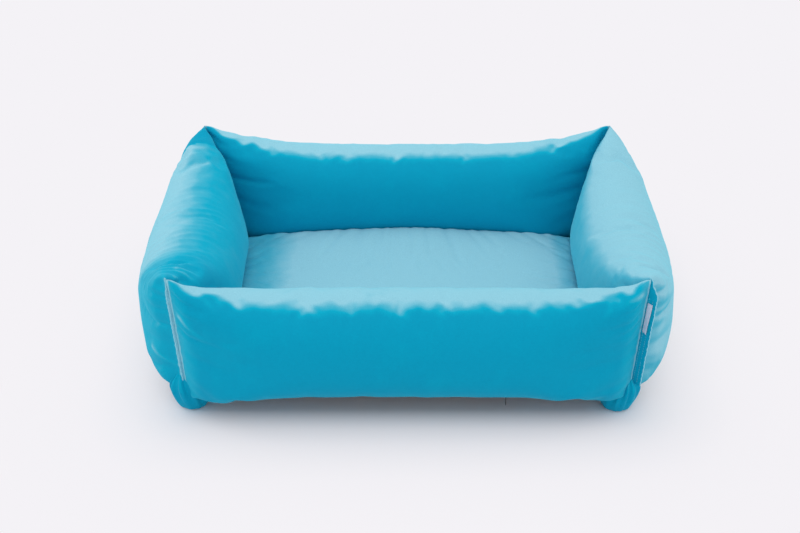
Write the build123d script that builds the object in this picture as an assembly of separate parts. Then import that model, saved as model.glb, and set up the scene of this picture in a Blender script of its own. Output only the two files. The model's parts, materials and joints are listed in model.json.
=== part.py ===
# A rectangular pet bed: four stuffed velvet tubes round a loose cushion, all lengths in millimetres.
# The floor is z = 0, the front faces -Y, and the origin lies under the middle of the bed.
import math
import os

from build123d import *

os.makedirs("parts", exist_ok=True)

# Plan and heights of the whole bed.
ear_span_x = 680.0  # between the pointed corner tips, side to side
ear_span_y = 510.0  # between the pointed corner tips, front to back
ear_height = 233.0  # the corner tips above the floor
seam_lean = 17.0  # how far a corner seam runs in, on each axis, from its tip to its foot

# The stuffed tubes.
tube_radius = 78.5  # at the middle of a tube, where it is round
tube_lift = 36.0  # the underside of a tube's middle above the floor
tube_bow = 4.5  # how far a tube's middle line bows in towards the bed
pinch_length = 200.0  # the end stretch over which a tube narrows to its seam
seam_half_width = 3.0  # half the thickness of a tube's end at its seam
seam_bottom = 8.0  # the lowest point of a tube's end above the floor
station_shares = (0.0, 0.1, 0.3, 0.6, 1.0)  # of pinch_length, from the seam
fullness_power = 0.75  # how fast a tube swells out from its seam
height_power = 1.68  # how its height falls as it swells, at an even girth

# Fabric layers, and the clearances between them.
velvet = 1.6
lining = 0.6
layer_gap = 0.6
sewn_gap = 0.3  # between neighbouring sewn pieces
mitre_gap = 0.15  # from a tube's end to the diagonal plane through its corner

# The corner seams: a stitched flange with a gathered foot under it.
flange_width = 15.0
flange_half_thickness = 1.5
flange_root = 1.0  # how far the flange reaches in behind the seam line
flange_top_slope = 26.0  # the flange's outer edge starts this far under the tip
flange_bottom = 12.0
foot_set_back = 11.0  # foot centre, in from the seam's lowest point on each axis
foot_height = 46.0
foot_radius = 26.0
foot_height_shares = (0.0, 0.2, 0.5, 0.82, 1.0)  # of foot_height
foot_radius_shares = (0.72, 1.0, 0.94, 0.5, 0.2)  # of foot_radius

# The small woven label in the front right corner seam.
label_height = 50.0
label_width = 9.0
label_thickness = 0.9
label_top = 192.0
label_lap = 0.5  # how far the label's root stands out from the seam line

# The base cloth, a shallow tray sewn up to the tubes.
base_thickness = 1.6
base_half_x = 275.0
base_half_y = 191.0
base_corner_radius = 20.0
base_rim = 50.0  # how far the rim runs out, and up, into the tubes

# The loose cushion.
cushion_side_clearance = 4.5  # to the side tubes, so that it lifts out
cushion_rear_clearance = 5.5  # to the front and rear tubes, and it leaves room for the zip
cushion_rest_gap = 0.3
cushion_seam_height = 26.0  # the edge seam above the floor
cushion_crown = 71.0
cushion_corner_share = 0.3  # of pinch_length, where its pointed corners begin
cushion_flare_share = 0.65  # of pinch_length, halfway along its flared sides
cushion_flat_share = 0.9  # how much of its outline is flat underneath
cushion_crown_share = 0.4  # how much of its outline is flat at the crown
cushion_roundness = 0.8  # 1 rounds its edges as an ellipse does, and less makes them fuller
cushion_lower_steps = 2
cushion_upper_steps = 6

# The zips. Each has two tapes, two rows of teeth, stops, a slider and a pull.
zip_length_x = 300.0  # under the front and rear tubes
zip_length_y = 170.0  # under the side tubes
zip_length_cushion = 250.0
zip_flat = 2.2  # depth of the flat that a zip lies on
tape_width = 12.4
cushion_tape_width = 8.4
tape_thickness = 0.8
zip_split = 0.6  # half the gap between the two rows
teeth_width = 2.4
teeth_height = 2.0
teeth_bevel = 0.5  # along the top edges of each row
slider_length = 12.0
slider_half_width = 4.6
slider_plate = 1.0
slider_gap = 0.3  # from the slider to the teeth and tapes
inner_wing_half_width = 3.6
post_half_width = 0.3
post_length = 3.0
slot_half_width = 4.2
bail_half_length = 3.4
bail_bar = 1.0
bail_half_width = 0.9
bail_opening = 2.2
pull_pin_radius = 0.8
pull_eye_half = 2.9
pull_rail = 1.4
pull_reach = 5.2  # from the pull's pin to the start of its tab
pull_length = 22.0
pull_thickness = 1.2
cushion_pull_length = 15.0
stop_length = 3.0
slider_end_gap = 1.0

overrun = 40.0  # how far cutting bodies run past what they cut

seam_foot_x = ear_span_x / 2 - seam_lean
seam_foot_y = ear_span_y / 2 - seam_lean
seam_mid_x = ear_span_x / 2 - seam_lean / 2
seam_mid_y = ear_span_y / 2 - seam_lean / 2
seam_half_height = (ear_height - seam_bottom) / 2
seam_mid_z = (ear_height + seam_bottom) / 2
tube_mid_z = tube_lift + tube_radius
lean_angle = math.atan2(seam_lean, ear_height - seam_bottom)
corner_line = (ear_span_x - ear_span_y) / 2  # x - |y| on the diagonal planes
well_half_x = seam_mid_x - tube_bow - tube_radius
well_half_y = seam_mid_y - tube_bow - tube_radius
case_depth = velvet + layer_gap
fill_depth = case_depth + lining + layer_gap


def fullness(distance, stretch, power):
    """0 at a seam and 1 where the stuffing is at its full size."""
    share = min(distance, stretch) / stretch
    return (1 - (1 - share) ** 2) ** power


def tube_size(distance):
    """Half width, half height, centre height and fullness at a distance from the end seam."""
    full = fullness(distance, pinch_length, fullness_power)
    half_width = seam_half_width + (tube_radius - seam_half_width) * full
    half_height = tube_radius + (seam_half_height - tube_radius) * (1 - full**height_power)
    centre_z = tube_mid_z + (seam_mid_z - tube_mid_z) * (1 - full)
    return half_width, half_height, centre_z, full


def oval(plane, half_width, half_height, depth, lean):
    """A closed oval of four tangent arcs, drawn depth inside the given half sizes."""
    angle = math.pi / 4 * half_width / half_height
    spread = (half_height - half_width) / (math.cos(angle) + math.sin(angle) - 1)
    side_radius = half_width + spread * math.cos(angle) - depth
    end_radius = half_height - spread * math.sin(angle) - depth
    side_centre = spread * math.cos(angle)
    end_centre = spread * math.sin(angle)

    def at(across, up):
        turned = (
            across * math.cos(lean) - up * math.sin(lean),
            across * math.sin(lean) + up * math.cos(lean),
        )
        return plane.from_local_coords((turned[0], turned[1], 0))

    across = -side_centre + side_radius * math.cos(angle)
    up = side_radius * math.sin(angle)
    right = half_width - depth
    top = end_centre + end_radius
    return Wire(
        [
            Edge.make_three_point_arc(at(across, -up), at(right, 0), at(across, up)),
            Edge.make_three_point_arc(at(across, up), at(0, top), at(-across, up)),
            Edge.make_three_point_arc(at(-across, up), at(-right, 0), at(-across, -up)),
            Edge.make_three_point_arc(at(-across, -up), at(0, -top), at(across, -up)),
        ]
    )


def first_station(depth):
    """The distance from the seam at which a tube is thick enough to hold a layer this deep."""
    needed = seam_half_width if depth <= 0 else depth * 2 + seam_half_width / 2
    share = max(0.0, (needed - seam_half_width) / (tube_radius - seam_half_width))
    return pinch_length * (1 - math.sqrt(1 - share ** (1 / fullness_power)))


def tube_loft(half_length, offset, depth):
    """The stuffed tube along X in front of the bed, drawn depth inside its surface."""
    start = first_station(depth)
    distances = [start + share * (pinch_length - start) for share in station_shares]
    places = [(-1, d) for d in distances] + [(0, half_length)] + [(1, d) for d in reversed(distances)]
    wires = []
    for side, distance in places:
        half_width, half_height, centre_z, full = tube_size(distance)
        tilt = lean_angle * (1 - full)
        plane = Plane(
            origin=(side * (half_length - distance), -(offset - tube_bow * full), centre_z),
            x_dir=(0, 1, 0),
            z_dir=(math.cos(tilt), 0, -side * math.sin(tilt)),
        )
        wires.append(oval(plane, half_width, half_height, depth, tilt))
    return Solid.make_loft(wires)


def prism(points, bottom, top):
    """An upright solid over a closed outline."""
    face = Face(Wire.make_polygon([(x, y, bottom) for x, y in points]))
    return Solid.extrude(face, (0, 0, top - bottom))


def block(low, high):
    """A box between two corners."""
    size = [b - a for a, b in zip(low, high)]
    middle = [(a + b) / 2 for a, b in zip(low, high)]
    return Pos(*middle) * Box(*size)


def largest(shape):
    """The main body of a cut, without the crumbs that a cut leaves."""
    return max(shape.solids(), key=lambda solid: solid.volume)


def mitre(offset, corner, depth):
    """What lies between the two diagonal planes that bound the tube along X in front."""
    apex = corner - (mitre_gap + depth) * math.sqrt(2)
    reach = offset + tube_radius + overrun
    points = [(0, apex), (-reach - apex, -reach), (reach + apex, -reach)]
    return prism(points, -overrun, ear_height + overrun)


def corner_plane(foot_x, foot_y):
    """The diagonal plane through the front right corner: across is outwards, up is up."""
    return Plane(origin=(foot_x, -foot_y, 0), x_dir=(1, -1, 0), z_dir=(-1, -1, 0))


def flange(foot_x, foot_y, grow):
    """The stitched flange of the front right corner seam."""
    plane = corner_plane(foot_x, foot_y)
    lean = seam_lean * math.sqrt(2)
    slope = lean / (ear_height - seam_bottom)
    outer_bottom = flange_bottom + flange_root
    outer_top = ear_height - flange_top_slope
    outline = [
        (-flange_root, flange_bottom),
        (lean - flange_root, ear_height - flange_root),
        (lean + flange_root, ear_height),
        (slope * (outer_top - seam_bottom) + flange_width, outer_top),
        (slope * (outer_bottom - seam_bottom) + flange_width, outer_bottom),
    ]
    half = flange_half_thickness + grow
    points = [plane.from_local_coords((across, up, -half)) for across, up in outline]
    return Solid.extrude(Face(Wire.make_polygon(points)), plane.z_dir * (2 * half))


def foot(foot_x, foot_y, grow):
    """The gathered foot under the front right corner seam."""
    centre = (foot_x - foot_set_back, -(foot_y - foot_set_back))
    wires = []
    for height_share, radius_share in zip(foot_height_shares, foot_radius_shares):
        height = foot_height * height_share + (grow if height_share else -grow)
        wires.append(
            Wire.make_circle(foot_radius * radius_share + grow, Plane((*centre, height)))
        )
    return Solid.make_loft(wires)


def zip_flat_height():
    """Where the flat under a tube lies, above the floor."""
    return tube_lift + zip_flat


def tube_body(half_length, offset, corner, zip_length, depth):
    """A tube along X in front of the bed, trimmed to its corners, depth inside its surface."""
    body = tube_loft(half_length, offset, depth)
    body = body & mitre(offset, corner, depth)
    foot_x = half_length - seam_lean / 2
    foot_y = offset - seam_lean / 2
    for side in (1, -1):
        corner_bodies = [
            flange(foot_x, foot_y, depth),
            foot(foot_x, foot_y, depth + sewn_gap),
        ]
        for cutter in corner_bodies:
            body = body - (cutter if side == 1 else cutter.mirror(Plane.YZ))
    half_zip = zip_length / 2 + stop_length + depth
    half_tape = zip_split + tape_width + sewn_gap + depth
    middle = offset - tube_bow
    trim = block(
        (-half_zip, -middle - half_tape, -overrun),
        (half_zip, -middle + half_tape, zip_flat_height() + depth),
    )
    return largest(body - trim)


def tube_layers(half_length, offset, corner, zip_length):
    """The velvet cover, the lining case and the stuffing of the tube along X in front."""
    outside = tube_body(half_length, offset, corner, zip_length, 0)
    cover = outside - tube_body(half_length, offset, corner, zip_length, velvet)
    middle = offset - tube_bow
    slot = block(
        (-zip_length / 2, -middle - slot_half_width, 0),
        (zip_length / 2, -middle + slot_half_width, zip_flat_height() + velvet + sewn_gap),
    )
    cover = largest(cover - slot)
    case = tube_body(half_length, offset, corner, zip_length, case_depth)
    case = case - tube_body(half_length, offset, corner, zip_length, case_depth + lining)
    filling = tube_body(half_length, offset, corner, zip_length, fill_depth)
    return cover, largest(case), filling


def coil_row(length):
    """One row of a zip's coil along X, from the split outwards along +Y, on z = 0."""
    row = block((-length / 2, 0, 0), (length / 2, teeth_width, teeth_height))
    top_edges = row.edges().filter_by(Axis.X).group_by(Axis.Z)[-1]
    row = chamfer(top_edges, teeth_bevel)
    return row.moved(Pos(0, zip_split, tape_thickness))


def zip_pieces(length, width, tab_length, folded):
    """A closed zip along X, its outside towards +Z, with its pull standing out or folded flat."""
    tape = block(
        (-length / 2 - stop_length, zip_split, 0),
        (length / 2 + stop_length, zip_split + width, tape_thickness),
    )
    teeth = coil_row(length)
    teeth_top = tape_thickness + teeth_height
    top_stop = block(
        (length / 2, zip_split, tape_thickness),
        (length / 2 + stop_length, zip_split + teeth_width, teeth_top),
    )
    bottom_stop = block(
        (-length / 2 - stop_length, -zip_split - teeth_width, tape_thickness),
        (-length / 2, zip_split + teeth_width, teeth_top),
    )
    half = slider_length / 2
    plate_low = teeth_top + slider_gap
    plate_top = plate_low + slider_plate
    flange_inner = zip_split + teeth_width + slider_gap
    outer_wing = block((-half, -slider_half_width, plate_low), (half, slider_half_width, plate_top))
    side_wall = block(
        (-half, flange_inner, tape_thickness + slider_gap),
        (half, slider_half_width, plate_low),
    )
    wing_low = -slider_gap - slider_plate
    inner_wing = block(
        (-half, -inner_wing_half_width, wing_low),
        (half, inner_wing_half_width, -slider_gap),
    )
    post = block((half - post_length, -post_half_width, -slider_gap), (half, post_half_width, plate_low))
    bar_low = plate_top + bail_opening
    leg = block(
        (bail_half_length - bail_bar, -bail_half_width, plate_top),
        (bail_half_length, bail_half_width, bar_low),
    )
    bar = block(
        (-bail_half_length, -bail_half_width, bar_low),
        (bail_half_length, bail_half_width, bar_low + bail_bar),
    )
    slider = outer_wing + side_wall + side_wall.mirror(Plane.XZ) + inner_wing + post
    slider = slider + leg + leg.mirror(Plane.YZ) + bar
    pin_height = plate_top + bail_opening / 2
    pin = Cylinder(pull_pin_radius, 2 * pull_eye_half, rotation=(90, 0, 0)).moved(Pos(0, 0, pin_height))
    rail = block(
        (-pull_thickness / 2, pull_rail, pin_height),
        (pull_thickness / 2, pull_eye_half, pin_height + pull_reach),
    )
    tab = block(
        (-pull_thickness / 2, -pull_eye_half, pin_height + pull_reach),
        (pull_thickness / 2, pull_eye_half, pin_height + tab_length),
    )
    pull = pin + rail + rail.mirror(Plane.XZ) + tab
    if folded:
        pull = pull.rotate(Axis((0, 0, pin_height), (0, 1, 0)), -90)
    home = Pos(length / 2 - half - slider_end_gap, 0, 0)
    return {
        "tapes": [tape, tape.mirror(Plane.XZ)],
        "teeth": [teeth, teeth.mirror(Plane.XZ)],
        "stops": [top_stop, top_stop.mirror(Plane.XZ), bottom_stop],
        "slider": [slider.moved(home)],
        "pull": [pull.moved(home)],
    }


def well_edge(share, length, offset):
    """A point on a tube's inner edge in plan, a share of pinch_length from its seam."""
    distance = share * pinch_length
    half_width, _, _, full = tube_size(distance)
    return length - distance, offset - tube_bow * full - half_width


def cushion_outline(plan_share, depth, height):
    """The cushion's outline at one level: straight sides that flare out to pointed corners."""
    long_side = [
        well_edge(share, seam_mid_x, seam_mid_y)
        for share in (1.0, cushion_flare_share, cushion_corner_share)
    ]
    short_side = [
        well_edge(share, seam_mid_y, seam_mid_x)[::-1]
        for share in (cushion_corner_share, cushion_flare_share, 1.0)
    ]
    tip = (short_side[0][0], long_side[2][1])
    inset_x = cushion_side_clearance + depth
    inset_y = cushion_rear_clearance + depth
    quarter = [
        ((x - inset_x) * plan_share, (y - inset_y) * plan_share)
        for x, y in [*long_side, tip, *short_side]
    ]

    def corner(sign_x, sign_y):
        return [(sign_x * x, sign_y * y, height) for x, y in quarter]

    rounds = [corner(1, 1), corner(1, -1)[::-1], corner(-1, -1), corner(-1, 1)[::-1]]
    edges = []
    for index, points in enumerate(rounds):
        for start in (0, 2, 4):
            edges.append(Edge.make_three_point_arc(*points[start : start + 3]))
        following = rounds[(index + 1) % len(rounds)]
        edges.append(Edge.make_line(points[-1], following[0]))
    return Wire(edges)


def cushion_levels():
    """Pairs of plan share and height share, from the flat underside at -1 to the crown at 1."""
    levels = []
    for step in range(-cushion_lower_steps, cushion_upper_steps + 1):
        steps = cushion_lower_steps if step < 0 else cushion_upper_steps
        flat_share = cushion_flat_share if step < 0 else cushion_crown_share
        angle = math.pi / 2 * abs(step) / steps
        spread = max(0.0, math.cos(angle)) ** cushion_roundness
        rise = math.copysign(math.sin(angle) ** cushion_roundness, step)
        levels.append((flat_share + (1 - flat_share) * spread, rise))
    return levels


def cushion_loft(depth):
    """The stuffed cushion through its levels, drawn depth inside its surface."""
    below = cushion_seam_height - base_thickness - cushion_rest_gap - depth
    above = cushion_crown - cushion_seam_height - depth
    wires = []
    for plan_share, rise in cushion_levels():
        height = cushion_seam_height + rise * (below if rise < 0 else above)
        wires.append(cushion_outline(plan_share, depth, height))
    return Solid.make_loft(wires, ruled=True)


def cushion_zip_face():
    """Where the flat for the cushion's zip lies, from the middle of the bed to the rear."""
    return well_half_y - cushion_rear_clearance - zip_flat


def cushion_body(depth):
    """The whole cushion, depth inside its surface, cut flat for its zip."""
    half_zip = zip_length_cushion / 2 + stop_length + depth
    trim = block(
        (-half_zip, cushion_zip_face() - depth, 0),
        (half_zip, well_half_y + overrun, ear_height),
    )
    return largest(cushion_loft(depth) - trim)


def cushion_layers():
    """The cushion's upper and lower velvet panels, its lining case and its stuffing."""
    shell = cushion_body(0) - cushion_body(velvet)
    face = cushion_zip_face()
    slot = block(
        (-zip_length_cushion / 2, face - velvet - sewn_gap, cushion_seam_height - slot_half_width),
        (zip_length_cushion / 2, face + overrun, cushion_seam_height + slot_half_width),
    )
    shell = largest(shell - slot)
    reach = well_half_x + overrun
    below = block((-reach, -reach, 0), (reach, reach, cushion_seam_height))
    upper = largest(shell - below)
    lower = largest(shell & below)
    case = largest(cushion_body(case_depth) - cushion_body(case_depth + lining))
    return upper, lower, case, cushion_body(fill_depth)


def rounded_outline(half_x, half_y, radius, height):
    """A rounded rectangle in a level plane."""
    sketch = Plane((0, 0, height)) * RectangleRounded(2 * half_x, 2 * half_y, radius)
    return sketch.faces()[0].outer_wire()


def base_cloth():
    """The tray of base cloth, trimmed where the tubes stand."""
    shapes = []
    for inset, low in ((0, 0), (base_thickness, base_thickness)):
        bottom = rounded_outline(base_half_x - inset, base_half_y - inset, base_corner_radius, low)
        top = rounded_outline(
            base_half_x - inset + base_rim,
            base_half_y - inset + base_rim,
            base_corner_radius,
            base_rim + low,
        )
        shapes.append(Solid.make_loft([bottom, top], ruled=True))
    tray = shapes[0] - shapes[1]
    tube_x = tube_loft(seam_mid_x, seam_mid_y, -sewn_gap)
    tube_y = turn_to_side(tube_loft(seam_mid_y, seam_mid_x, -sewn_gap))
    right_foot = foot(seam_foot_x, seam_foot_y, sewn_gap)
    left_foot = right_foot.mirror(Plane.YZ)
    cutters = [tube_x, tube_x.mirror(Plane.XZ), tube_y, tube_y.mirror(Plane.YZ)]
    cutters += [right_foot, right_foot.mirror(Plane.XZ), left_foot, left_foot.mirror(Plane.XZ)]
    for cutter in cutters:
        tray = largest(tray - cutter)
    return tray


def turn_to_side(shape):
    """Carries a tube in front of the bed to the right side."""
    return shape.moved(Rot(0, 0, 90))


def label():
    """The folded label, lying on the flange's front face."""
    plane = corner_plane(seam_foot_x, seam_foot_y)
    slope = seam_lean * math.sqrt(2) / (ear_height - seam_bottom)
    low = label_top - label_height
    outline = []
    for across, up in ((0, low), (label_width, low), (label_width, label_top), (0, label_top)):
        outline.append((label_lap + across + slope * (up - seam_bottom), up))
    points = [
        plane.from_local_coords((across, up, flange_half_thickness)) for across, up in outline
    ]
    return Solid.extrude(Face(Wire.make_polygon(points)), plane.z_dir * label_thickness)


def write(name, solids):
    """One file for each node, whether it is one solid or a set."""
    shape = solids[0] if len(solids) == 1 else Compound(children=list(solids))
    export_step(shape, f"parts/{name}.step")


def zip_set(name, length, width, tab_length, folded, places):
    """Writes the nodes of one zip at its place."""
    for kind, solids in zip_pieces(length, width, tab_length, folded).items():
        placed = [solid for shape in solids for solid in places(shape).solids()]
        write(f"{name}_zip_{kind}", placed)


def under_tube(offset, turn):
    """Turns a zip to face the floor, under the tube that a turn about Z leads to."""
    place = Pos(0, -(offset - tube_bow), zip_flat_height()) * Rot(180, 0, 0)
    return lambda shape: shape.moved(Rot(0, 0, turn) * place)


def main():
    front = tube_layers(seam_mid_x, seam_mid_y, corner_line, zip_length_x)
    right = [
        turn_to_side(layer)
        for layer in tube_layers(seam_mid_y, seam_mid_x, -corner_line, zip_length_y)
    ]
    corner = flange(seam_foot_x, seam_foot_y, 0) + foot(seam_foot_x, seam_foot_y, 0)
    tag = label()
    front_cover, front_case, front_filling = front
    right_cover, right_case, right_filling = right
    front_cover = largest(front_cover - tag)
    for kind, layer in zip(("cover", "inner_case", "filling"), (front_cover, front_case, front_filling)):
        write(f"front_bolster_{kind}", [layer])
    for kind, layer in zip(("cover", "inner_case", "filling"), front):
        write(f"rear_bolster_{kind}", [layer.mirror(Plane.XZ)])
    for kind, layer in zip(("cover", "inner_case", "filling"), (right_cover, right_case, right_filling)):
        write(f"right_bolster_{kind}", [layer])
        write(f"left_bolster_{kind}", [layer.mirror(Plane.YZ)])
    corner = corner.solids()[0]
    write("front_right_corner_seam", [corner])
    write("front_left_corner_seam", [corner.mirror(Plane.YZ)])
    write("rear_right_corner_seam", [corner.mirror(Plane.XZ)])
    write("rear_left_corner_seam", [corner.mirror(Plane.XZ).mirror(Plane.YZ)])
    write("side_label", [tag])
    write("base_cloth", [base_cloth()])
    for kind, layer in zip(("upper_cover", "lower_cover", "inner_case", "filling"), cushion_layers()):
        write(f"cushion_{kind}", [layer])

    zip_set("front", zip_length_x, tape_width, pull_length, False, under_tube(seam_mid_y, 0))
    zip_set("rear", zip_length_x, tape_width, pull_length, False, under_tube(seam_mid_y, 180))
    zip_set("right", zip_length_y, tape_width, pull_length, False, under_tube(seam_mid_x, 90))
    zip_set("left", zip_length_y, tape_width, pull_length, False, under_tube(seam_mid_x, -90))
    at_rear = Pos(0, cushion_zip_face(), cushion_seam_height) * Rot(-90, 0, 0)
    zip_set(
        "cushion",
        zip_length_cushion,
        cushion_tape_width,
        cushion_pull_length,
        True,
        lambda shape: shape.moved(at_rear),
    )


main()
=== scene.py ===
import json
import math

import bmesh
import bpy
from mathutils import Matrix, Vector, noise
from mathutils.bvhtree import BVHTree

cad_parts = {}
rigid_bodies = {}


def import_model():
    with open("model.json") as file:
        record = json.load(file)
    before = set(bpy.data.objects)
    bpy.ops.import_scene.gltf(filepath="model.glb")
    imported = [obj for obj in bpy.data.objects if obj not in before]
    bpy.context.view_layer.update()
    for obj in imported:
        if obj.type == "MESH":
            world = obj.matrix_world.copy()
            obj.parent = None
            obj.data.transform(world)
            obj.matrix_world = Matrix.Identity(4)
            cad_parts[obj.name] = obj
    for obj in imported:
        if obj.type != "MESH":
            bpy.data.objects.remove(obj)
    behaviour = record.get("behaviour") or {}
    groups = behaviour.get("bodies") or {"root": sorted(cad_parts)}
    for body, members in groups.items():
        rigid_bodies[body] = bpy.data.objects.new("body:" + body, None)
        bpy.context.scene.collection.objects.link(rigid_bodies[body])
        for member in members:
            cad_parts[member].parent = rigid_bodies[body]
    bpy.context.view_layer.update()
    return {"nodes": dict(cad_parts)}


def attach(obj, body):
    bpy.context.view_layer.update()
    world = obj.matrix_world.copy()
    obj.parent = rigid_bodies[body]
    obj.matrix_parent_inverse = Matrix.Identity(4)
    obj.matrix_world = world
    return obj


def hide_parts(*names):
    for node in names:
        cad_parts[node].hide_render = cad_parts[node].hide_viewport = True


for leftover in list(bpy.data.objects):
    bpy.data.objects.remove(leftover)
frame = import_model()
scene = bpy.context.scene
noise.seed_set(1)  # noise vectors would otherwise start from the clock
mm = 0.001
tiny = 0.01 * mm  # nearer than this, two places are the same

view = {"place": (-0.012, -2.138, 1.330), "pitchDown": 29.8, "lens": 70.4}
studio = {
    "worldColour": (0.935, 0.935, 0.95),
    "worldStrength": 1.0,
    "lampPower": 7.0,
    "lampSize": 2.2,
    "lampPlace": (-0.9, 0.5, 2.0),
    "floorColour": (0.87, 0.855, 0.88),
    "sweepColour": (0.905, 0.888, 0.922),
    "floorSize": 12.0,
    "footprint": (0.311, 0.240, 10.0),
    "sweepStart": 0.3,
    "sweepStops": [(0.0, 0.0), (0.167, 0.46), (0.3, 0.66), (0.567, 0.9), (1.0, 1.0)],
}
camera = bpy.data.objects.new("camera", bpy.data.cameras.new("camera"))
camera.data.lens = view["lens"]
camera.location = view["place"]
camera.rotation_euler = (math.radians(90 - view["pitchDown"]), 0, 0)
scene.collection.objects.link(camera)
scene.camera = camera

bed = {  # the four corner seams lean outwards as they rise
    "seamX": 331.5 * mm,
    "seamY": 246.5 * mm,
    "lean": 17 * mm,
    "seamBottom": 10 * mm,
    "earHeight": 233 * mm,
    "seamThickness": 2.4 * mm,
}


def smoothShare(value):
    value = min(1.0, max(0.0, value))
    return value * value * (3 - 2 * value)


def softLimit(value, limit, blendWidth):
    # keeps a value under a limit, easing in over the blend width
    over = value - limit
    if over <= -blendWidth:
        return value
    if over >= blendWidth:
        return limit
    return limit - blendWidth / 4 * (1 - over / blendWidth) ** 2


def cornerSeam(saw):
    # how far out of its middle the corner seam is, and its height; saw runs from -1 to 1
    middle = (bed["earHeight"] + bed["seamBottom"]) / 2
    half = (bed["earHeight"] - bed["seamBottom"]) / 2
    return bed["lean"] * saw / 2, middle + half * saw


def seamOut(height):
    # how far out of its middle the corner seam is at a height, along X as along Y
    share = (height - bed["seamBottom"]) / (bed["earHeight"] - bed["seamBottom"])
    return bed["lean"] * (min(1.0, max(0.0, share)) - 0.5)


def newMaterial(name, roughness, constants=None):
    # a material, its node tree and its shader, with the values that are the same all over
    material = bpy.data.materials.new(name)
    material.use_nodes = True
    surface = material.node_tree.nodes["Principled BSDF"]
    surface.inputs["Roughness"].default_value = roughness
    for socket, value in (constants or {}).items():
        surface.inputs[socket].default_value = value
    return material, material.node_tree, surface


def addNoise(tree, scale, detail=2.0, stretch=(1, 1, 1)):
    place = tree.nodes.new("ShaderNodeTexCoord")
    mapping = tree.nodes.new("ShaderNodeMapping")
    mapping.inputs["Scale"].default_value = stretch
    texture = tree.nodes.new("ShaderNodeTexNoise")
    texture.inputs["Scale"].default_value = scale
    texture.inputs["Detail"].default_value = detail
    tree.links.new(place.outputs["Object"], mapping.inputs["Vector"])
    tree.links.new(mapping.outputs["Vector"], texture.inputs["Vector"])
    return texture.outputs["Fac"]


def addRamp(tree, factor, stops):
    ramp = tree.nodes.new("ShaderNodeValToRGB")
    for element, (position, colour) in zip(ramp.color_ramp.elements, (stops[0], stops[-1])):
        element.position = position
        element.color = (*colour, 1)
    for position, colour in stops[1:-1]:
        ramp.color_ramp.elements.new(position).color = (*colour, 1)
    tree.links.new(factor, ramp.inputs["Fac"])
    return ramp.outputs["Color"]


def addMix(tree, factor, first, second, kind="MIX"):
    # a colour mix, whose factor and two colours are the node's sockets 0, 6 and 7
    mix = tree.nodes.new("ShaderNodeMix")
    mix.data_type = "RGBA"
    mix.blend_type = kind
    for socket, value in ((mix.inputs[0], factor), (mix.inputs[6], first), (mix.inputs[7], second)):
        if isinstance(value, (int, float)):
            socket.default_value = value
        elif isinstance(value, tuple):
            socket.default_value = (*value, 1)
        else:
            tree.links.new(value, socket)
    return mix.outputs[2]


def addBump(tree, surface, height, strength, distance, below=None):
    bump = tree.nodes.new("ShaderNodeBump")
    bump.inputs["Strength"].default_value = strength
    bump.inputs["Distance"].default_value = distance
    tree.links.new(height, bump.inputs["Height"])
    if below is not None:
        tree.links.new(below, bump.inputs["Normal"])
    tree.links.new(bump.outputs["Normal"], surface.inputs["Normal"])
    return bump.outputs["Normal"]


def addMath(tree, operation, first, second, third=None):
    node = tree.nodes.new("ShaderNodeMath")
    node.operation = operation
    for index, value in enumerate((first, second, third)):
        if isinstance(value, (int, float)):
            node.inputs[index].default_value = value
        elif value is not None:
            tree.links.new(value, node.inputs[index])
    return node.outputs[0]


def addMap(tree, factor, low, high):
    node = tree.nodes.new("ShaderNodeMapRange")
    node.inputs["To Min"].default_value = low
    node.inputs["To Max"].default_value = high
    tree.links.new(factor, node.inputs["Value"])
    return node.outputs["Result"]


def addWave(tree, direction, scale, distortion):
    place = tree.nodes.new("ShaderNodeTexCoord")
    wave = tree.nodes.new("ShaderNodeTexWave")
    wave.wave_type = "BANDS"
    wave.bands_direction = direction
    wave.inputs["Scale"].default_value = scale
    wave.inputs["Distortion"].default_value = distortion
    wave.inputs["Detail"].default_value = 1.0
    tree.links.new(place.outputs["Object"], wave.inputs["Vector"])
    return wave.outputs["Fac"]


velvet = {
    # from deep teal where no painted light falls to a pale painted sheen
    "stops": [
        (0.0, (0.0, 0.36, 0.56)),
        (0.35, (0.0, 0.44, 0.63)),
        (0.6, (0.08, 0.50, 0.66)),
        (0.95, (0.31, 0.66, 0.78)),
    ],
    "patchScale": 11.0,
    "strokeScale": 60.0,
    "tuftScale": 170.0,
    "pileScale": 900.0,
    "roughness": (0.78, 0.95),
    "sheen": 0.45,
    "sheenRoughness": 0.35,
    "sheenTint": (0.18, 0.85, 1.0),
    "specular": 0.1,
}


def makeVelvet():
    # painted light and sheen: the base colour runs from deep teal to pale by the painted light that
    # each piece keeps on its points, with random patches and strokes on top
    constants = {
        "Sheen Weight": velvet["sheen"],
        "Sheen Roughness": velvet["sheenRoughness"],
        "Sheen Tint": (*velvet["sheenTint"], 1),
        "Specular IOR Level": velvet["specular"],
    }
    material, tree, surface = newMaterial("velvet", 0.85, constants)
    paintedLight = tree.nodes.new("ShaderNodeAttribute")
    paintedLight.attribute_name = "paintedLight"
    patches = addNoise(tree, velvet["patchScale"], 3.0)
    strokes = addNoise(tree, velvet["strokeScale"], 3.0, (1.0, 1.0, 0.5))
    wander = addMix(tree, 0.35, patches, strokes)
    centred = addMath(tree, "MULTIPLY_ADD", wander, 0.5, -0.25)
    lightAndPatches = addMath(tree, "ADD", paintedLight.outputs["Fac"], centred)
    base = addRamp(tree, lightAndPatches, velvet["stops"])
    pile = addNoise(tree, velvet["pileScale"], 1.0)
    shade = addRamp(tree, pile, [(0.3, (0.84, 0.87, 0.89)), (0.7, (1.0, 1.0, 1.0))])
    colour = addMix(tree, 1.0, base, shade, "MULTIPLY")
    tree.links.new(colour, surface.inputs["Base Color"])
    tree.links.new(addMap(tree, patches, *velvet["roughness"]), surface.inputs["Roughness"])
    lower = addBump(tree, surface, addNoise(tree, velvet["tuftScale"], 2.0), 0.18, 0.001)
    addBump(tree, surface, pile, 0.3, 0.0005, lower)
    return material


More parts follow.
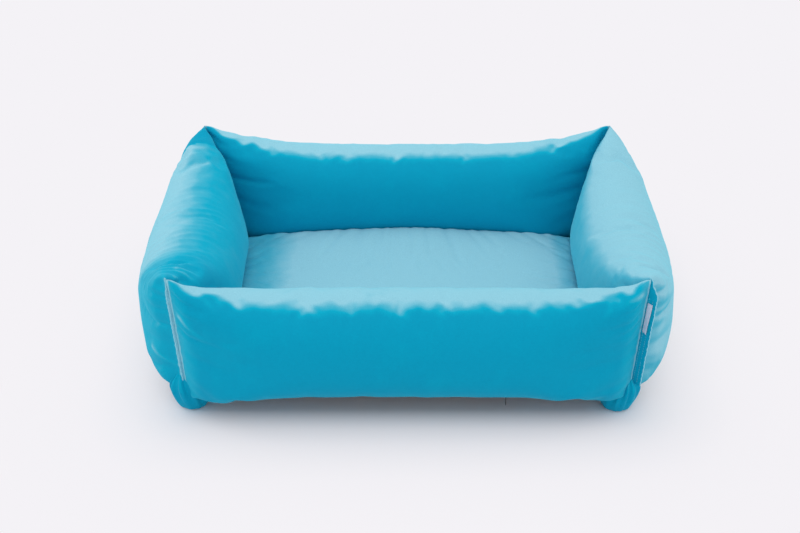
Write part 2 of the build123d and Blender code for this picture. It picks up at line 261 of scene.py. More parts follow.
def makeWoven(name, colour, shade, threadScale, roughness=0.8):
    # a plain weave from two crossed sets of fine bands
    material, tree, surface = newMaterial(name, roughness)
    waves = [addWave(tree, direction, threadScale, 0.6) for direction in ("X", "Y")]
    weave = addMix(tree, 0.5, waves[0], waves[1])
    soil = addNoise(tree, 30.0, 3.0)
    base = addMix(tree, soil, shade, colour)
    shadeThread = addMix(tree, 0.55, base, weave, "MULTIPLY")
    tree.links.new(shadeThread, surface.inputs["Base Color"])
    addBump(tree, surface, weave, 0.4, 0.0004)
    return material


def makeFibre():
    material, tree, surface = newMaterial("stuffing", 0.95, {"Sheen Weight": 0.5})
    tufts = addNoise(tree, 90.0, 6.0)
    colour = addRamp(tree, tufts, [(0.3, (0.62, 0.61, 0.58)), (0.7, (0.86, 0.86, 0.84))])
    tree.links.new(colour, surface.inputs["Base Color"])
    addBump(tree, surface, tufts, 0.9, 0.003)
    return material


def makeRibbon():
    material, tree, surface = newMaterial("label", 0.45, {"Sheen Weight": 0.3})
    weave = addNoise(tree, 700.0, 1.0, (1, 1, 3))
    colour = addRamp(tree, weave, [(0.3, (0.66, 0.63, 0.74)), (0.7, (0.82, 0.79, 0.90))])
    tree.links.new(colour, surface.inputs["Base Color"])
    addBump(tree, surface, weave, 0.3, 0.0003)
    return material


def makeThread():
    material, tree, surface = newMaterial("thread", 0.6)
    twist = addNoise(tree, 1500.0, 1.0)
    colour = addRamp(tree, twist, [(0.3, (0.03, 0.40, 0.55)), (0.7, (0.12, 0.55, 0.68))])
    tree.links.new(colour, surface.inputs["Base Color"])
    addBump(tree, surface, twist, 0.4, 0.0003)
    return material


def makeMetal():
    material, tree, surface = newMaterial("zipMetal", 0.3, {"Metallic": 1.0})
    wear = addNoise(tree, 400.0, 4.0)
    colour = addRamp(tree, wear, [(0.35, (0.07, 0.08, 0.09)), (0.65, (0.16, 0.17, 0.18))])
    tree.links.new(colour, surface.inputs["Base Color"])
    tree.links.new(addMap(tree, wear, 0.22, 0.42), surface.inputs["Roughness"])
    addBump(tree, surface, wear, 0.1, 0.0002)
    return material


def makeTeeth():
    # a nylon coil: fine turns side by side
    material, tree, surface = newMaterial("zipTeeth", 0.4)
    turns = addWave(tree, "DIAGONAL", 314.0, 0.0)
    moulded = addNoise(tree, 500.0, 2.0)
    mixed = addMix(tree, 0.3, turns, moulded)
    colour = addRamp(tree, mixed, [(0.2, (0.0, 0.17, 0.27)), (0.7, (0.01, 0.32, 0.45))])
    tree.links.new(colour, surface.inputs["Base Color"])
    addBump(tree, surface, turns, 0.6, 0.0004)
    return material


materials = {
    "velvet": makeVelvet(),
    "lining": makeWoven("lining", (0.80, 0.79, 0.76), (0.70, 0.69, 0.66), 900.0),
    "stuffing": makeFibre(),
    "base_cloth": makeWoven("baseCloth", (0.055, 0.020, 0.035), (0.030, 0.012, 0.022), 700.0, 0.9),
    "label": makeRibbon(),
    "thread": makeThread(),
    "zip_tape": makeWoven("zipTape", (0.01, 0.30, 0.42), (0.0, 0.20, 0.31), 1300.0),
    "zip_teeth": makeTeeth(),
    "zip_metal": makeMetal(),
}
print("materials ready")


def addPiece(name, mesh, slot, body="root", finishes=None):
    piece = bpy.data.objects.new(name, mesh)
    scene.collection.objects.link(piece)
    for finish in finishes or [slot]:
        mesh.materials.append(materials[finish])
    mesh.polygons.foreach_set("use_smooth", [True] * len(mesh.polygons))
    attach(piece, body)
    return piece


def subdivide(piece, levels=1):
    modifier = piece.modifiers.new("subdivision", "SUBSURF")
    modifier.levels = levels
    modifier.render_levels = levels


def meshFrom(name, build):
    mesh = bpy.data.meshes.new(name)
    build.to_mesh(mesh)
    build.free()
    return mesh


def faceOut(build):
    # turns a closed shape the right way out
    if build.calc_volume(signed=True) < 0:
        bmesh.ops.reverse_faces(build, faces=build.faces)


def smooth(build, points, times):
    for _ in range(times):
        bmesh.ops.smooth_vert(
            build, verts=points, factor=0.5, use_axis_x=True, use_axis_y=True, use_axis_z=True
        )


def keepPaintedLight(mesh, values):
    # painted light and sheen on each point, 0 to 1, which the velvet turns paler for
    mesh.attributes.new("paintedLight", "FLOAT", "POINT").data.foreach_set("value", values)


sewnVelvet = {
    "pressure": 14,
    "tension": 30,
    "compression": 10,
    "shear": 3,
    "bending": 0.05,
    "mass": 0.02,
    "quality": 6,
    "tensionDamping": 5,
    "airDamping": 1,
}


def stuff(flatMesh, sewn, frames):
    # blows up a flat cover while its sewn edge is drawn in to the seam line
    cover = bpy.data.objects.new("stuffedCover", flatMesh)
    scene.collection.objects.link(cover)
    cover.shape_key_add(name="flat")
    drawn = cover.shape_key_add(name="drawn")
    for index, place in sewn.items():
        drawn.data[index].co = place
    drawn.value = 0
    drawn.keyframe_insert("value", frame=1)
    drawn.value = 1
    drawn.keyframe_insert("value", frame=frames // 2)
    edge = cover.vertex_groups.new(name="sewn")
    edge.add(list(sewn), 1.0, "REPLACE")
    cloth = cover.modifiers.new("cloth", "CLOTH")
    fabric = cloth.settings
    fabric.quality = sewnVelvet["quality"]
    fabric.mass = sewnVelvet["mass"]
    fabric.tension_stiffness = sewnVelvet["tension"]
    fabric.compression_stiffness = sewnVelvet["compression"]
    fabric.shear_stiffness = sewnVelvet["shear"]
    fabric.bending_stiffness = sewnVelvet["bending"]
    fabric.tension_damping = sewnVelvet["tensionDamping"]
    fabric.air_damping = sewnVelvet["airDamping"]
    fabric.use_pressure = True
    fabric.uniform_pressure_force = sewnVelvet["pressure"]
    fabric.effector_weights.gravity = 0
    fabric.vertex_group_mass = "sewn"
    cloth.collision_settings.use_collision = False
    cloth.collision_settings.use_self_collision = False
    cloth.point_cache.frame_start = 1
    cloth.point_cache.frame_end = frames
    for step in range(1, frames + 1):
        scene.frame_set(step)
    settled = cover.evaluated_get(bpy.context.evaluated_depsgraph_get())
    mesh = bpy.data.meshes.new_from_object(settled)
    bpy.data.objects.remove(cover)
    scene.frame_set(1)
    return mesh


bolster = {
    "radius": 79 * mm,
    "around": 84,
    "flatness": 10 * mm,
    "seamHalfWide": 3 * mm,
    "pinch": 200 * mm,
    "widePower": 0.82,
    "fitFrom": 24 * mm,
    "fitWindow": 4,
    "lift": 36 * mm,
    "zipFlat": 38.3 * mm,
    "zipInward": 4.5 * mm,
    "seamLine": 3 * mm,
    "endBandWide": 38 * mm,
    "frames": 30,
    "sewnRound": 40 * mm,
    "waver": 0.8,
    "mitreBlend": 12 * mm,
    "mitreEase": 60 * mm,
    "zipMargin": 26 * mm,
    "zipBelow": 80 * mm,
    "standRise": (6 * mm, 22 * mm),
    "caseInset": 3.2 * mm,
    "fillInset": 5.0 * mm,
}
longTube = {
    "halfLength": bed["seamX"],
    "offset": bed["seamY"],
    "rings": 120,
    "fabric": 692 * mm,
    "zipHalf": 153 * mm,
}
shortTube = {
    "halfLength": bed["seamY"],
    "offset": bed["seamX"],
    "rings": 96,
    "fabric": 528 * mm,
    "zipHalf": 88 * mm,
}
# each tube as the camera sees it, in its own frame: along X, outwards along -Y. Its painted light is
# paler on faces turned out and up, and a crease has its face, two ends, width, rise and gleam, a
# painted highlight
bolsters = {
    "front": {
        **longTube,
        "turns": 0,
        "seed": 3.1,
        "out": 246 * mm,
        "middle": 122.5 * mm,
        "halfWide": 79.5 * mm,
        "halfHigh": 77 * mm,
        "earPower": 0.7,
        "smoothing": 16,
        "foldDepth": 0.35 * mm,
        "foldPitch": 26 * mm,
        "lightFrom": (-0.5, 0.87),
        "lightRamp": (0.5, 0.32),
        "fill": 0.0,
        "endBand": 0.45,
        "creases": [
            ("out", (-0.322, 0.177), (-0.288, 0.150), 0.004, 0.0016, 0.5),
            ("out", (0.325, 0.212), (0.280, 0.199), 0.004, 0.0016, 0.5),
            ("out", (0.280, 0.199), (0.262, 0.180), 0.004, 0.0010, 0.2),
        ],
    },
    "right": {
        **shortTube,
        "turns": 1,
        "seed": 11.7,
        "out": 334.5 * mm,
        "middle": 116 * mm,
        "halfWide": 72 * mm,
        "halfHigh": 80 * mm,
        "earPower": 1.5,
        "smoothing": 8,
        "foldDepth": 0.6 * mm,
        "foldPitch": 19 * mm,
        "lightFrom": (0.4, 0.9),
        "lightRamp": (0.0, 0.6),
        "fill": 0.6,
        "endBand": 0.0,
        "creases": [],
    },
    "rear": {
        **longTube,
        "turns": 2,
        "seed": 23.9,
        "out": 243 * mm,
        "middle": 116 * mm,
        "halfWide": 78.5 * mm,
        "halfHigh": 78.5 * mm,
        "earPower": 1.0,
        "smoothing": 12,
        "foldDepth": 0.35 * mm,
        "foldPitch": 30 * mm,
        "lightFrom": (0.5, 0.87),
        "lightRamp": (0.5, 0.32),
        "fill": 0.0,
        "endBand": 0.0,
        "creases": [],
    },
    "left": {
        **shortTube,
        "turns": 3,
        "seed": 37.3,
        "out": 333.5 * mm,
        "middle": 116 * mm,
        "halfWide": 77.5 * mm,
        "halfHigh": 78.5 * mm,
        "earPower": 1.5,
        "smoothing": 8,
        "foldDepth": 1.1 * mm,
        "foldPitch": 15.5 * mm,
        "lightFrom": (0.62, 0.5),
        "lightRamp": (0.22, 0.62),
        "fill": 0.35,
        "endBand": 0.0,
        "dullEnd": 44 * mm,
        "plainFrom": 95 * mm,
        "creases": [
            ("out", (0.205, 0.088), (0.246, 0.076), 0.004, 0.0016, 0.5),
            ("out", (0.200, 0.150), (0.245, 0.135), 0.004, 0.0010, 0.3),
            ("top", (0.198, -0.332), (0.183, -0.303), 0.004, 0.0016, 0.5),
            ("top", (0.2117, -0.3297), (0.199, -0.2975), 0.004, 0.0016, 0.5),
            ("top", (0.2335, -0.3305), (0.209, -0.2975), 0.004, 0.0016, 0.5),
            ("top", (-0.2005, -0.365), (-0.2005, -0.316), 0.004, 0.0014, 0.4),
        ],
    },
}


def fullness(fromSeam):
    # 0 at a tube's seam, 1 where it is round
    share = min(1.0, max(0.0, fromSeam / bolster["pinch"]))
    return (1 - (1 - share) ** 2) ** 0.75


def openTube(length, rings):
    # a round tube along Z, open at its ends and cut into rings
    build = bmesh.new()
    bmesh.ops.create_cone(
        build,
        segments=bolster["around"],
        radius1=bolster["radius"],
        radius2=bolster["radius"],
        depth=length,
        cap_ends=False,
    )
    lines = [edge for edge in build.edges if abs(edge.verts[0].co.z - edge.verts[1].co.z) > length / 2]
    bmesh.ops.subdivide_edges(build, edges=lines, cuts=rings - 1, use_grid_fill=True)
    build.verts.index_update()
    return build


def tubePlace(point, length, rings):
    # the ring that a point is on, its way round in quarter turns, and its rise from -1 to 1
    turn = (math.atan2(point.co.y, point.co.x) / (math.pi / 2)) % 4
    saw = turn if turn <= 1 else (2 - turn if turn <= 3 else turn - 4)
    return round((point.co.z / length + 0.5) * rings), turn, saw


def flatBolster(tube):
    # a flat sewn tube of velvet, the seam line that each end is drawn in to, and each point's ring
    halfLength, offset, length = tube["halfLength"], tube["offset"], tube["fabric"]
    build = openTube(length, tube["rings"])
    sewn, ringOf = {}, []
    seamMiddle = cornerSeam(0)[1]
    halfHeight = math.pi * bolster["radius"] / 2 - bolster["flatness"] * 0.3
    seed = Vector((tube["seed"], 0, 0))
    for point in build.verts:
        along = point.co.z
        ring, turn, saw = tubePlace(point, length, tube["rings"])
        ringOf.append(ring)
        fromEnd = length / 2 - abs(along)
        height = seamMiddle + halfHeight * saw
        if fromEnd < tiny:
            point.co = Vector((along, -offset, height))
            out, height = cornerSeam(saw)
            end = math.copysign(halfLength + out, along)
            sewn[point.index] = Vector((end, -(offset + out), height))
        else:
            side = math.copysign(math.sqrt(max(0.0, 1 - abs(saw) ** 4)), math.cos(turn * math.pi / 2))
            across = side * math.sqrt(min(1.0, fromEnd / bolster["sewnRound"]))
            point.co = Vector((along, bolster["flatness"] * across - offset, height))
            point.co += noise.noise_vector(point.co * 40 + seed) * bolster["waver"] * mm
    faceOut(build)
    return meshFrom("flatBolster", build), sewn, ringOf


def tubeSize(tube, fromSeam):
    # a stuffed tube's half width, half height, middle's height and distance out, some way from its seam
    full = fullness(fromSeam)
    seamMiddle = cornerSeam(0)[1]
    seamHalf = cornerSeam(1)[1] - seamMiddle
    narrow = bolster["seamHalfWide"]
    halfWide = narrow + (tube["halfWide"] - narrow) * full ** bolster["widePower"]
    halfHigh = tube["halfHigh"] + (seamHalf - tube["halfHigh"]) * (1 - full ** tube["earPower"])
    middle = tube["middle"] + (seamMiddle - tube["middle"]) * (1 - full)
    return halfWide, halfHigh, middle, tube["offset"] + (tube["out"] - tube["offset"]) * full


def fitRings(mesh, ringOf, tube):
    # draws every ring of a stuffed tube to its width, height and place, and keeps its creases
    build = bmesh.new()
    build.from_mesh(mesh)
    rings = [[] for _ in range(max(ringOf) + 1)]
    for point, ring in zip(build.verts, ringOf):
        rings[ring].append(point)
    places, extents = [], []
    for ring in rings:
        fromSeam = max(0.0, tube["halfLength"] - abs(sum(point.co.x for point in ring) / len(ring)))
        for point in ring:
            point.co.y += seamOut(point.co.z) * (1 - fullness(fromSeam))
        across, up = [point.co.y for point in ring], [point.co.z for point in ring]
        places.append(fromSeam)
        extents.append((min(across), max(across), min(up), max(up)))
    for index, (ring, fromSeam) in enumerate(zip(rings, places)):
        window = min(bolster["fitWindow"], index, len(rings) - 1 - index)
        near = extents[index - window : index + window + 1]
        lowY, highY, lowZ, highZ = (sum(values) / len(near) for values in zip(*near))
        halfWide, halfHigh, middle, out = tubeSize(tube, fromSeam)
        wider = 2 * halfWide / max(highY - lowY, 1 * mm)
        higher = 2 * halfHigh / max(highZ - lowZ, 1 * mm)
        share = smoothShare(fromSeam / bolster["fitFrom"])
        for point in ring:
            y = -out + (point.co.y - (lowY + highY) / 2) * wider
            z = middle + (point.co.z - (lowZ + highZ) / 2) * higher
            point.co.y += (y - point.co.y) * share
            point.co.z += (z - point.co.z) * share
            point.co.y -= seamOut(point.co.z) * (1 - fullness(fromSeam))
    return build


def settleBolster(build, tube):
    # presses the ends together at the mitres, stands the tube on its base and flattens the zip's place
    mitre = tube["halfLength"] - tube["offset"]
    zipPlace = tube["offset"] - bolster["zipInward"]
    riseFrom, riseSpan = bolster["standRise"]
    for point in build.verts:
        x, y, z = point.co
        fromSeam = tube["halfLength"] - abs(x)
        ease = min(1.0, max(0.04, fromSeam / bolster["mitreEase"]))
        over = (y - mitre + abs(x)) / math.sqrt(2)
        moved = softLimit(over, -bed["seamThickness"] / 2, bolster["mitreBlend"] * ease) - over
        x += math.copysign(moved / math.sqrt(2), x)
        y += moved / math.sqrt(2)
        zipShare = smoothShare((tube["zipHalf"] + bolster["zipMargin"] - abs(x)) / (20 * mm))
        zipShare *= smoothShare((32 * mm - abs(y + zipPlace)) / (16 * mm))
        if z < bolster["zipBelow"]:
            rise = smoothShare((fromSeam - riseFrom) / riseSpan)
            lowest = bed["seamBottom"] + (bolster["lift"] - bed["seamBottom"]) * rise
            z = -softLimit(-z, -lowest, 3 * mm * rise + 0.1 * mm)
            z += (bolster["zipFlat"] - z) * zipShare
        point.co = (x, y, z)
    bmesh.ops.remove_doubles(build, verts=build.verts, dist=0.2 * mm)
    return meshFrom("bolster", build)


def refine(mesh):
    # one level of subdivision, applied
    holder = bpy.data.objects.new("holder", mesh)
    scene.collection.objects.link(holder)
    subdivide(holder)
    settled = holder.evaluated_get(bpy.context.evaluated_depsgraph_get())
    finer = bpy.data.meshes.new_from_object(settled)
    bpy.data.objects.remove(holder)
    return finer


def creaseShare(place, normal, crease):
    # 1 on the line of a crease, and less beside it
    face, start, end, width = crease[:4]
    if (normal.y > -0.2) if face == "out" else (normal.z < 0.2):
        return 0.0
    here = Vector((place.x, place.z if face == "out" else place.y))
    start, line = Vector(start), Vector(end) - Vector(start)
    along = min(1.0, max(0.0, (here - start).dot(line) / line.length_squared))
    away = (here - start - line * along).length / width
    return (1 - 0.85 * along) * math.exp(-away * away) if away < 3 else 0.0


folds = {  # how the soft folds wander, come and go, and differ in pitch
    "wander": 7.0,
    "uneven": 4.4,
    "patches": (0.45, 1.1),
    "fadeOut": 24 * mm,
    "sharpness": 0.8,
    "smoothBelow": 20 * mm,
    "keptEnd": 8 * mm,
}


def foldBolster(mesh, tube):
    # smooths the firm faces, then presses in the soft folds across the top and the sharp creases
    build = bmesh.new()
    build.from_mesh(mesh)
    top = cornerSeam(0)[1] + folds["smoothBelow"]
    inner = [v for v in build.verts if tube["halfLength"] - abs(v.co.x) > folds["keptEnd"]]
    smooth(build, [point for point in inner if point.co.z < top], tube["smoothing"])
    smooth(build, inner, 2)
    build.normal_update()
    seed, moves = tube["seed"], []
    faint, strong = folds["patches"]
    for point in build.verts:
        along, fromSeam = point.co.x, tube["halfLength"] - abs(point.co.x)
        up, outward = point.normal.z, -point.normal.y
        drift = noise.noise(Vector((along * 11, point.co.y * 9, point.co.z * 9 + seed)))
        patch = noise.noise(Vector((along * 17 + seed, point.co.y * 8, point.co.z * 8)))
        strength = tube["foldDepth"] * smoothShare((0.6 * up + 0.9 * outward + 0.35) / 0.9)
        strength *= smoothShare((up + 0.1) / 0.5) * smoothShare(fromSeam / folds["fadeOut"])
        strength *= faint + strong * max(-0.3, patch)
        uneven = noise.noise(Vector((along * 15 + seed, 0.7, seed))) * folds["uneven"]
        phase = along / tube["foldPitch"] * 2 * math.pi + drift * folds["wander"] + uneven
        move = (1 - 2 * abs(math.sin(phase / 2)) ** folds["sharpness"]) * strength
        for crease in tube["creases"]:
            move += crease[4] * creaseShare(point.co, point.normal, crease)
        moves.append(move)
    for point, move in zip(build.verts, moves):
        point.co += point.normal * move
    return meshFrom("foldedBolster", build)


def paintBolsterLight(mesh, tube):
    # painted light and sheen: pale where the faces turn out and up, with painted highlights beside the
    # corner seams and along the creases
    mesh.update()
    lightFrom = Vector((0, -tube["lightFrom"][0], tube["lightFrom"][1]))
    start, span = tube["lightRamp"]
    values = []
    for point in mesh.vertices:
        place, normal = point.co, point.normal
        paintedLight = tube["fill"] + (1 - tube["fill"]) * smoothShare((normal.dot(lightFrom) - start) / span)
        fromLine = tube["halfLength"] + seamOut(place.z) - abs(place.x)
        # less painted sheen on the top at one end of the left tube
        if place.x < 0 and fromLine < tube.get("dullEnd", 0) and normal.z > 0.2:
            paintedLight *= 0.15
        # less painted sheen further along the left tube
        if "plainFrom" in tube:
            paintedLight *= 1 - 0.55 * smoothShare((place.x - tube["plainFrom"]) / (70 * mm))
        facing = smoothShare(-normal.y / 0.4)
        # a painted highlight on the band at each end that faces outwards
        paintedLight += tube["endBand"] * smoothShare(1 - fromLine / bolster["endBandWide"]) * facing
        # a painted highlight along the corner seam line
        paintedLight += smoothShare(1.5 - fromLine / bolster["seamLine"])
        # a painted highlight along each crease
        for crease in tube["creases"]:
            paintedLight += crease[5] * creaseShare(place, normal, crease)
        values.append(paintedLight)
    keepPaintedLight(mesh, values)


def insetCopy(mesh, depth, endShare):
    # the same form, drawn in by depth: the case and the stuffing inside a cover
    build = bmesh.new()
    build.from_mesh(mesh)
    build.normal_update()
    moves = {point: point.normal * depth for point in build.verts}
    middle = sum((point.co for point in build.verts), Vector()) / len(build.verts)
    for point, move in moves.items():
        point.co -= move
        point.co = middle + (point.co - middle) * endShare
    smooth(build, build.verts, 2)
    return meshFrom("insetCopy", build)


def treeOf(mesh):
    places = [point.co.copy() for point in mesh.vertices]
    return BVHTree.FromPolygons(places, [tuple(face.vertices) for face in mesh.polygons])


coverTrees = []
for side, tube in bolsters.items():
    flat, sewn, ringOf = flatBolster(tube)
    raw = stuff(flat, sewn, bolster["frames"])
    settled = settleBolster(fitRings(raw, ringOf, tube), tube)
    coverMesh = foldBolster(refine(settled), tube)
    paintBolsterLight(coverMesh, tube)
    turn = Matrix.Rotation(math.radians(90) * tube["turns"], 4, "Z")
    settled.transform(turn)
    coverMesh.transform(turn)
    caseMesh = insetCopy(settled, bolster["caseInset"], 0.985)
    fillMesh = insetCopy(settled, bolster["fillInset"], 0.97)
    coverTrees.append(treeOf(coverMesh))
    cover = addPiece(side + "Cover", coverMesh, "velvet")
    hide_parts(side + "_bolster_cover")
    case = addPiece(side + "Case", caseMesh, "lining")
    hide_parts(side + "_bolster_inner_case")
    fill = addPiece(side + "Stuffing", fillMesh, "stuffing")
    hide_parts(side + "_bolster_filling")
    print(side, "bolster stuffed")


cushion = {
    "halfX": 285 * mm,
    "front": -186 * mm,
    "rear": 172 * mm,
    "rearBulge": 12 * mm,
    "seamHeight": 26 * mm,
    "crown": 76 * mm,
    "underside": 2.2 * mm,
    "edgeRound": 34 * mm,
    "rearRound": 20 * mm,
    "rearLift": 13 * mm,
    "rearDrop": 19 * mm,
    "slack": 24 * mm,
    "cellsX": 110,
    "cellsY": 72,
    "gap": 0.8 * mm,
    "zipHalf": 128 * mm,
    "zipFace": 155.6 * mm,
    "frames": 24,
    "waver": 0.8,
    "smoothing": 14,
    "creaseFade": 14 * mm,
    "lowerRound": 22 * mm,
    "domeX": 0.08,
    "domeY": 0.3,
    "lumps": 3 * mm,
    "caseInset": 3.0 * mm,
    "fillInset": 4.6 * mm,
    # where the painted shade beside the left and right bolsters starts, and how wide it is
    "dullLeft": (-165 * mm, 75 * mm),
    "dullRight": (225 * mm, 30 * mm),
    "ruffledFrom": (-80 * mm, 50 * mm),
}


def flatCushion(seed):
    # two panels sewn round the edge, cut larger than the outline that the edge is drawn in to
    build = bmesh.new()
    bmesh.ops.create_grid(build, x_segments=cushion["cellsX"], y_segments=cushion["cellsY"], size=1)
    top = list(build.faces)
    copied = bmesh.ops.duplicate(build, geom=build.verts[:] + build.edges[:] + build.faces[:])
    bottom = [part for part in copied["geom"] if isinstance(part, bmesh.types.BMFace)]
    bmesh.ops.reverse_faces(build, faces=bottom)
    for face in bottom:
        face.material_index = 1
    for faces, side in ((top, 1), (bottom, -1)):
        for point in {end for face in faces for end in face.verts}:
            inside = min(1 - abs(point.co.x), 1 - abs(point.co.y))
            point.co.z = side * 4 * mm * math.sqrt(min(1.0, inside / 0.1)) if inside > tiny else 0.0
    bmesh.ops.remove_doubles(build, verts=build.verts, dist=tiny)
    build.verts.index_update()
    sewn, outline = {}, []
    halfY = (cushion["rear"] - cushion["front"]) / 2
    middleY = (cushion["rear"] + cushion["front"]) / 2
    for point in build.verts:
        u, v = point.co.x, point.co.y
        fromEdge = min((1 - abs(u)) * cushion["halfX"], (1 - abs(v)) * halfY)
        x, y = u * cushion["halfX"], middleY + v * halfY
        outline.append((x, y, fromEdge, math.copysign(1, point.co.z)))
        place = Vector((x, y, cushion["seamHeight"] + point.co.z))
        if fromEdge < tiny:
            sewn[point.index] = place.copy()
        place.x *= 1 + cushion["slack"] / cushion["halfX"]
        place.y += v * cushion["slack"]
        if fromEdge > tiny:
            place += noise.noise_vector(place * 35 + Vector((0, seed, 0))) * cushion["waver"] * mm
        point.co = place
    faceOut(build)
    return meshFrom("flatCushion", build), sewn, outline


def settleCushion(mesh, outline):
    # keeps the stuffed cover's creases, fills it to its firm shape and presses it to the bolsters
    build = bmesh.new()
    build.from_mesh(mesh)
    creased = [point.co.copy() for point in build.verts]
    smooth(build, build.verts, cushion["smoothing"])
    seam, span = cushion["seamHeight"], cushion["halfX"]
    for point, crease, (x, y, fromEdge, side) in zip(build.verts, creased, outline):
        detail = (crease - point.co) * smoothShare(fromEdge / cushion["creaseFade"])
        if side > 0:
            rear = smoothShare((y - 60 * mm) / (90 * mm))
            edgeRound = cushion["edgeRound"] + (cushion["rearRound"] - cushion["edgeRound"]) * rear
            full = (1 - (1 - min(1.0, fromEdge / edgeRound)) ** 3) ** 0.5
            dome = 1 - cushion["domeX"] * (x / span) ** 2
            dome -= cushion["domeY"] * ((y + 10 * mm) / (330 * mm)) ** 2
            lump = noise.noise(Vector((x * 9, y * 9, 2.6))) * cushion["lumps"]
            z = seam + (cushion["crown"] - seam + lump) * full * dome + detail.z * 0.8
            y += rear * cushion["rearBulge"] * smoothShare((z - seam) / (26 * mm))
            z += (cushion["rearLift"] - cushion["rearDrop"] * (x / span) ** 2) * rear * full
        else:
            full = (1 - (1 - min(1.0, fromEdge / cushion["lowerRound"])) ** 2) ** 0.7
            z = seam - (seam - cushion["underside"]) * full
        flat = smoothShare((cushion["zipHalf"] + 14 * mm - abs(x)) / (10 * mm))
        if y > 130 * mm:
            tucked = smoothShare((z - 5 * mm) / (8 * mm)) * smoothShare((52 * mm - z) / (14 * mm))
            y += (cushion["zipFace"] - y) * flat * tucked
        point.co = (x + detail.x * 0.5, y + detail.y * 0.5, z)
    for point in build.verts:
        for tree in coverTrees:
            near, facing, _, distance = tree.find_nearest(point.co, 40 * mm)
            if near is not None and (point.co - near).dot(facing) < cushion["gap"]:
                point.co = near + facing * cushion["gap"]
    return build


def splitCushion(build, keepIndex):
    # the upper or the lower panel alone, up to the seam
    half = build.copy()
    doomed = [face for face in half.faces if face.material_index != keepIndex]
    bmesh.ops.delete(half, geom=doomed, context="FACES")
    for face in half.faces:
        face.material_index = 0
    return meshFrom("cushionHalf", half)


def paintCushionLight(mesh):
    # painted light: pale on top as if lit from above, with painted shade along both ends beside the
    # bolsters, and less of it in ruffled patches near the front
    mesh.update()
    (left, leftSpan), (right, rightSpan) = cushion["dullLeft"], cushion["dullRight"]
    front, frontSpan = cushion["ruffledFrom"]
    values = []
    for point in mesh.vertices:
        x, y, _ = point.co
        ruffled = smoothShare(noise.noise(Vector((x * 14, y * 20, 3.3))) * 2.5)
        ruffled *= smoothShare((front - y) / frontSpan)
        paintedLight = 1.05 - 0.5 * smoothShare((left - x) / leftSpan) - 0.45 * ruffled
        paintedLight -= 0.3 * smoothShare((x - right) / rightSpan)
        # the painted light falls only on faces that turn up
        values.append(paintedLight * smoothShare((point.normal.z + 0.1) / 0.5))
    keepPaintedLight(mesh, values)


raw, sewn, outline = flatCushion(5.3)
raw = stuff(raw, sewn, cushion["frames"])
whole = settleCushion(raw, outline)
for name, keep, node in (
    ("cushionUpper", 0, "cushion_upper_cover"),
    ("cushionLower", 1, "cushion_lower_cover"),
):
    half = splitCushion(whole, keep)
    paintCushionLight(half)
    piece = addPiece(name, half, "velvet", "cushion")
    subdivide(piece)
    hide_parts(node)
wholeMesh = meshFrom("cushionWhole", whole)
for name, depth, share, slot, node in (
    ("cushionCase", cushion["caseInset"], 0.965, "lining", "cushion_inner_case"),
    ("cushionStuffing", cushion["fillInset"], 0.95, "stuffing", "cushion_filling"),
):
    inner = insetCopy(wholeMesh, depth, share)
    inner.polygons.foreach_set("material_index", [0] * len(inner.polygons))
    piece = addPiece(name, inner, slot, "cushion")
    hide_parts(node)
print("cushion stuffed")


corner = {
    "thickness": bed["seamThickness"],
    "topSlope": 5 * mm,
    "topTaper": 0.14,
    "bottom": 50 * mm,
    "lap": 1.2 * mm,
    "pucker": 0.7 * mm,
    "stitchLines": (0.22, 0.62),
    "stitchPitch": 4.2 * mm,
    "stitchSize": (0.55 * mm, 0.5 * mm, 1.5 * mm),
    "stitchEnds": (6 * mm, 30 * mm),
    "wideEnough": 8 * mm,
    "rounding": 0.7 * mm,
}
# each corner's signs, its flange's width and how far its foot stands aside
corners = {
    "frontRight": {"node": "front_right", "signs": (1, -1), "width": 15 * mm, "aside": (-4 * mm, 0)},
    "frontLeft": {
        "node": "front_left",
        "signs": (-1, -1),
        "width": 3.5 * mm,
        "aside": (-6 * mm, 5 * mm),
    },
    "rearRight": {"node": "rear_right", "signs": (1, 1), "width": 15 * mm, "aside": (0, 0)},
    "rearLeft": {"node": "rear_left", "signs": (-1, 1), "width": 15 * mm, "aside": (0, 0)},
}


